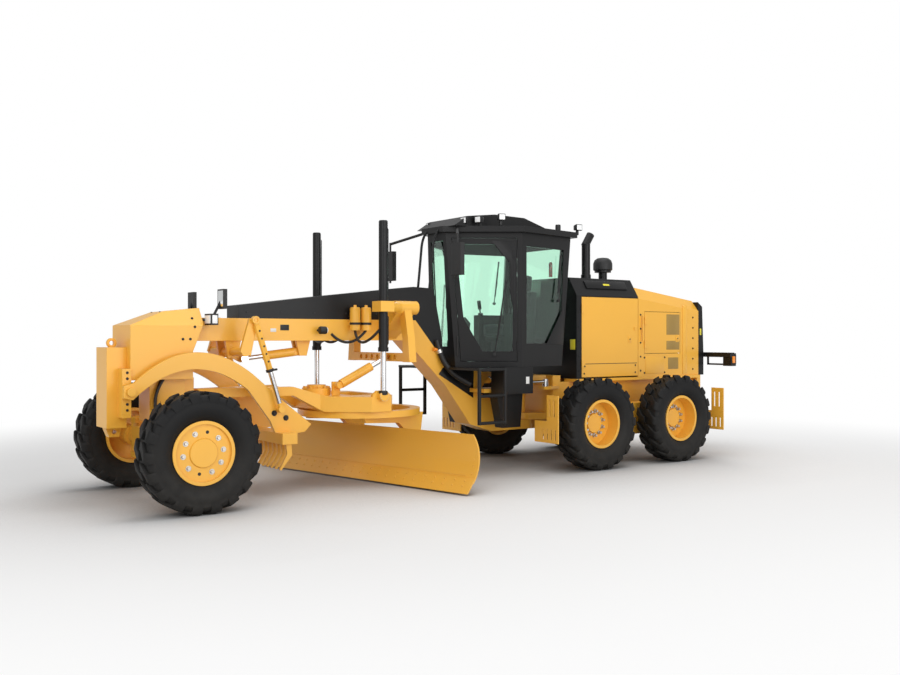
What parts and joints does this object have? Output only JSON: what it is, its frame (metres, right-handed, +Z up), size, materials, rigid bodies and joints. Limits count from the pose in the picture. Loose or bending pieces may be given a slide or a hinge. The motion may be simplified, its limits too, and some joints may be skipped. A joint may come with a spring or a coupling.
{
  "type": "motor grader",
  "caption": "Articulated motor grader with a tandem rear drive, leaning-door cab, drawbar blade, circle and mid-mounted scarifier for levelling roads.",
  "frame": {"origin": "on the ground below the middle of the machine's box", "axes": "+X forward, +Y to the machine's left, +Z up"},
  "size_m": [8.984, 3.6461, 3.3],
  "materials": {
    "yellow_paint": "gloss",
    "rim_paint": "gloss",
    "black_paint": "satin",
    "chrome_rod": "polished",
    "tinted_glass": "tinted",
    "tyre_rubber": "matte",
    "seat_fabric": "woven",
    "dark_plastic": "matte",
    "engine_iron": "cast",
    "stack_steel": "dull"
  },
  "bodies": {
    "rear_body": {"rear_frame": "yellow_paint", "tandem_cases": "yellow_paint", "engine_block": "engine_iron", "hood_cowl": "black_paint", "hood_rear": "yellow_paint", "rear_grille": "black_paint", "stacks": "stack_steel"},
    "front_body": {"front_frame": "yellow_paint", "boom_cover": "black_paint", "push_block": "yellow_paint", "front_axle": "yellow_paint", "lift_saddle": "yellow_paint", "lift_barrels": "black_paint", "side_steps": "black_paint", "cab_shell": "black_paint", "cab_roof": "black_paint", "cab_glass": "tinted_glass", "seat": "seat_fabric", "cab_console": "dark_plastic", "mirrors_lamps": "dark_plastic"},
    "hood_front_door_left": {"front_door_left": "yellow_paint"},
    "hood_front_door_right": {"front_door_right": "yellow_paint"},
    "hood_rear_door_left": {"rear_door_left": "yellow_paint"},
    "hood_rear_door_right": {"rear_door_right": "yellow_paint"},
    "cab_door_left": {"cab_door_left": "black_paint", "door_glass_left": "tinted_glass"},
    "cab_door_right": {"cab_door_right": "black_paint", "door_glass_right": "tinted_glass"},
    "knuckle_left": {"knuckle_left": "yellow_paint"},
    "knuckle_right": {"knuckle_right": "yellow_paint"},
    "tie_rod": {"tie_rod": "yellow_paint"},
    "lift_rods": {"lift_rods": "chrome_rod"},
    "drawbar": {"drawbar": "yellow_paint"},
    "circle": {"circle": "yellow_paint"},
    "blade_carrier": {"blade_carrier": "yellow_paint"},
    "mouldboard": {"mouldboard": "yellow_paint"},
    "centre_shift_barrel": {"centre_shift_barrel": "yellow_paint"},
    "centre_shift_rod": {"centre_shift_rod": "chrome_rod"},
    "scarifier": {"scarifier": "yellow_paint"},
    "bellcrank": {"bellcrank": "yellow_paint"},
    "scarifier_links": {"scarifier_links": "yellow_paint"},
    "scarifier_barrel": {"scarifier_barrel": "yellow_paint"},
    "scarifier_rod": {"scarifier_rod": "chrome_rod"},
    "articulation_barrel_left": {"articulation_barrel_left": "yellow_paint"},
    "articulation_rod_left": {"articulation_rod_left": "chrome_rod"},
    "front_wheel_left": {"front_tyre_left": "tyre_rubber", "front_rim_left": "rim_paint"},
    "mid_wheel_left": {"mid_tyre_left": "tyre_rubber", "mid_rim_left": "rim_paint"},
    "rear_wheel_left": {"rear_tyre_left": "tyre_rubber", "rear_rim_left": "rim_paint"},
    "articulation_barrel_right": {"articulation_barrel_right": "yellow_paint"},
    "articulation_rod_right": {"articulation_rod_right": "chrome_rod"},
    "front_wheel_right": {"front_tyre_right": "tyre_rubber", "front_rim_right": "rim_paint"},
    "mid_wheel_right": {"mid_tyre_right": "tyre_rubber", "mid_rim_right": "rim_paint"},
    "rear_wheel_right": {"rear_tyre_right": "tyre_rubber", "rear_rim_right": "rim_paint"}
  },
  "joints": [
    {"name": "articulation", "type": "hinge", "parent": "rear_body", "child": "front_body", "pos_m": [-1.14, 0, 0.9], "axis": [0, 0, 1], "range_deg": [-20, 20]},
    {"name": "steer_left", "type": "hinge", "parent": "front_body", "child": "knuckle_left", "pos_m": [3.86, 0.8, 0.59697], "axis": [0, 0, 1], "range_deg": [-47.5, 47.5]},
    {"name": "steer_right", "type": "hinge", "parent": "front_body", "child": "knuckle_right", "pos_m": [3.86, -0.8, 0.59697], "axis": [0, 0, 1], "range_deg": [-48, 48]},
    {"name": "tie_rod_swing", "type": "hinge", "parent": "knuckle_left", "child": "tie_rod", "pos_m": [3.6, 0.8, 0.40997], "axis": [0, 0, 1], "range_deg": [-48, 48]},
    {"name": "front_wheel_left_spin", "type": "hinge", "parent": "knuckle_left", "child": "front_wheel_left", "pos_m": [3.86, 1.07, 0.59697], "axis": [0, 1, 0], "continuous": true},
    {"name": "mid_wheel_left_spin", "type": "hinge", "parent": "rear_body", "child": "mid_wheel_left", "pos_m": [-1.5015, 1.07, 0.59697], "axis": [0, 1, 0], "continuous": true},
    {"name": "rear_wheel_left_spin", "type": "hinge", "parent": "rear_body", "child": "rear_wheel_left", "pos_m": [-3.0245, 1.07, 0.59697], "axis": [0, 1, 0], "continuous": true},
    {"name": "hood_front_door_left_hinge", "type": "hinge", "parent": "rear_body", "child": "hood_front_door_left", "pos_m": [-1.753, 0.5603, 1.7], "axis": [0, 0, -1], "range_deg": [0, 95]},
    {"name": "hood_rear_door_left_hinge", "type": "hinge", "parent": "rear_body", "child": "hood_rear_door_left", "pos_m": [-2.993, 0.55739, 1.8], "axis": [0, 0, -1], "range_deg": [0, 95]},
    {"name": "cab_door_left_hinge", "type": "hinge", "parent": "front_body", "child": "cab_door_left", "pos_m": [-0.44574, 0.75251, 2.2], "axis": [0, 0, 1], "range_deg": [0, 80]},
    {"name": "articulation_barrel_left_pin", "type": "hinge", "parent": "front_body", "child": "articulation_barrel_left", "pos_m": [-0.39, 0.4, 1.12], "axis": [0, 0, 1], "range_deg": [-5, 5]},
    {"name": "articulation_rod_left_slide", "type": "slide", "parent": "articulation_barrel_left", "child": "articulation_rod_left", "axis": [-0.9993, 0.037, 0], "range_m": [-0.17, 0.17]},
    {"name": "front_wheel_right_spin", "type": "hinge", "parent": "knuckle_right", "child": "front_wheel_right", "pos_m": [3.86, -1.07, 0.59697], "axis": [0, 1, 0], "continuous": true},
    {"name": "mid_wheel_right_spin", "type": "hinge", "parent": "rear_body", "child": "mid_wheel_right", "pos_m": [-1.5015, -1.07, 0.59697], "axis": [0, 1, 0], "continuous": true},
    {"name": "rear_wheel_right_spin", "type": "hinge", "parent": "rear_body", "child": "rear_wheel_right", "pos_m": [-3.0245, -1.07, 0.59697], "axis": [0, 1, 0], "continuous": true},
    {"name": "hood_front_door_right_hinge", "type": "hinge", "parent": "rear_body", "child": "hood_front_door_right", "pos_m": [-1.753, -0.5603, 1.7], "axis": [0, 0, 1], "range_deg": [0, 95]},
    {"name": "hood_rear_door_right_hinge", "type": "hinge", "parent": "rear_body", "child": "hood_rear_door_right", "pos_m": [-2.993, -0.55739, 1.8], "axis": [0, 0, 1], "range_deg": [0, 95]},
    {"name": "cab_door_right_hinge", "type": "hinge", "parent": "front_body", "child": "cab_door_right", "pos_m": [-0.44574, -0.75251, 2.2], "axis": [0, 0, -1], "range_deg": [0, 80]},
    {"name": "articulation_barrel_right_pin", "type": "hinge", "parent": "front_body", "child": "articulation_barrel_right", "pos_m": [-0.39, -0.4, 1.12], "axis": [0, 0, 1], "range_deg": [-5, 5]},
    {"name": "articulation_rod_right_slide", "type": "slide", "parent": "articulation_barrel_right", "child": "articulation_rod_right", "axis": [-0.9993, -0.037, 0], "range_m": [-0.17, 0.17]},
    {"name": "drawbar_lift", "type": "hinge", "parent": "front_body", "child": "drawbar", "pos_m": [3.56, 0, 1.05], "axis": [0, 1, 0], "range_deg": [-20, 12.5]},
    {"name": "lift_rod_slide", "type": "slide", "parent": "front_body", "child": "lift_rods", "axis": [0, 0, 1], "range_m": [-0.7, 0.45]},
    {"name": "circle_turn", "type": "hinge", "parent": "drawbar", "child": "circle", "pos_m": [1.43, 0, 0.83], "axis": [0, 0, 1], "range_deg": [-52, 28]},
    {"name": "blade_tip", "type": "hinge", "parent": "circle", "child": "blade_carrier", "pos_m": [1.24415, -0.0395, 0.24], "axis": [-0.2079, 0.9781, 0], "range_deg": [-5, 40]},
    {"name": "blade_side_shift", "type": "slide", "parent": "blade_carrier", "child": "mouldboard", "axis": [-0.2079, 0.9781, 0], "range_m": [-0.66, 0.51]},
    {"name": "centre_shift_barrel_pin", "type": "hinge", "parent": "drawbar", "child": "centre_shift_barrel", "pos_m": [1.87, 0.29, 1.16], "axis": [0, 1, 0], "range_deg": [-40, 52]},
    {"name": "centre_shift_rod_slide", "type": "slide", "parent": "centre_shift_barrel", "child": "centre_shift_rod", "axis": [-0.8986, 0, 0.4387], "range_m": [-0.15, 0.22]},
    {"name": "scarifier_lift", "type": "hinge", "parent": "front_body", "child": "scarifier", "pos_m": [4.321, 0, 1.167], "axis": [0, 1, 0], "range_deg": [-18, 3]},
    {"name": "bellcrank_turn", "type": "hinge", "parent": "front_body", "child": "bellcrank", "pos_m": [3.112, 0, 1.56], "axis": [0, 1, 0], "range_deg": [-96, 18]},
    {"name": "scarifier_link_pin", "type": "hinge", "parent": "bellcrank", "child": "scarifier_links", "pos_m": [3.016, 0, 1.905], "axis": [0, 1, 0], "range_deg": [-14, 70]},
    {"name": "scarifier_barrel_pin", "type": "hinge", "parent": "front_body", "child": "scarifier_barrel", "pos_m": [2.219, 0, 1.56], "axis": [0, 1, 0], "range_deg": [-3, 8]},
    {"name": "scarifier_rod_slide", "type": "slide", "parent": "scarifier_barrel", "child": "scarifier_rod", "axis": [0.9936, 0, -0.1128], "range_m": [-0.06, 0.3]}
  ],
  "couplings": [
    {"joint": "steer_right", "follows": "steer_left", "ratio": 1},
    {"joint": "tie_rod_swing", "follows": "steer_left", "ratio": -1},
    {"joint": "articulation_barrel_left_pin", "follows": "articulation", "ratio": -0.0839},
    {"joint": "articulation_rod_left_slide", "follows": "articulation", "m_per_rad": -0.4233},
    {"joint": "articulation_barrel_right_pin", "follows": "articulation", "ratio": -0.0839},
    {"joint": "articulation_rod_right_slide", "follows": "articulation", "m_per_rad": 0.4233},
    {"joint": "lift_rod_slide", "follows": "drawbar_lift", "m_per_rad": 1.95},
    {"joint": "centre_shift_barrel_pin", "follows": "drawbar_lift", "ratio": -2.5},
    {"joint": "centre_shift_rod_slide", "follows": "drawbar_lift", "m_per_rad": -0.573},
    {"joint": "bellcrank_turn", "follows": "scarifier_lift", "ratio": 5.2},
    {"joint": "scarifier_link_pin", "follows": "scarifier_lift", "ratio": -3.75},
    {"joint": "scarifier_barrel_pin", "follows": "scarifier_lift", "ratio": -0.38},
    {"joint": "scarifier_rod_slide", "follows": "scarifier_lift", "m_per_rad": -0.9}
  ]
}
